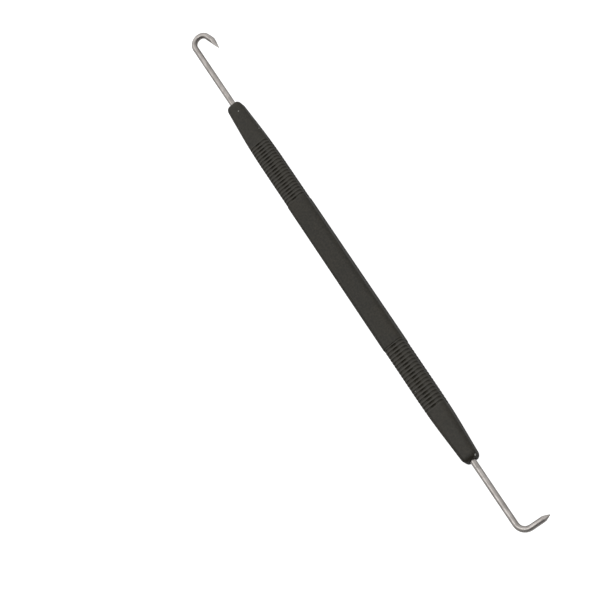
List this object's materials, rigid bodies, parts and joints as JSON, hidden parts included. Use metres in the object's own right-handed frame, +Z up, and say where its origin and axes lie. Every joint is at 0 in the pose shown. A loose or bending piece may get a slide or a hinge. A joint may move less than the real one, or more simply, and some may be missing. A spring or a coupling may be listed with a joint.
{
  "type": "scriber",
  "caption": "Slim double-ended scriber: a moulded handle with grooved grips and a ground steel wire at each end, one bent into a hook and one to a right angle.",
  "frame": {"origin": "middle of the handle's lower flat, halfway between its two ends", "axes": "+X along the handle towards the right-angle point, -X towards the hook, +Y the way both wires bend, +Z up out of the flat the tool rests on"},
  "size_m": [0.1815, 0.0119, 0.0062],
  "materials": {
    "handle_plastic": "satin moulded, very dark grey",
    "wire_steel": "drawn satin, ground at the points"
  },
  "bodies": {
    "root": {"handle": "handle_plastic", "hook_point": "wire_steel", "right_angle_point": "wire_steel"}
  },
  "joints": []
}
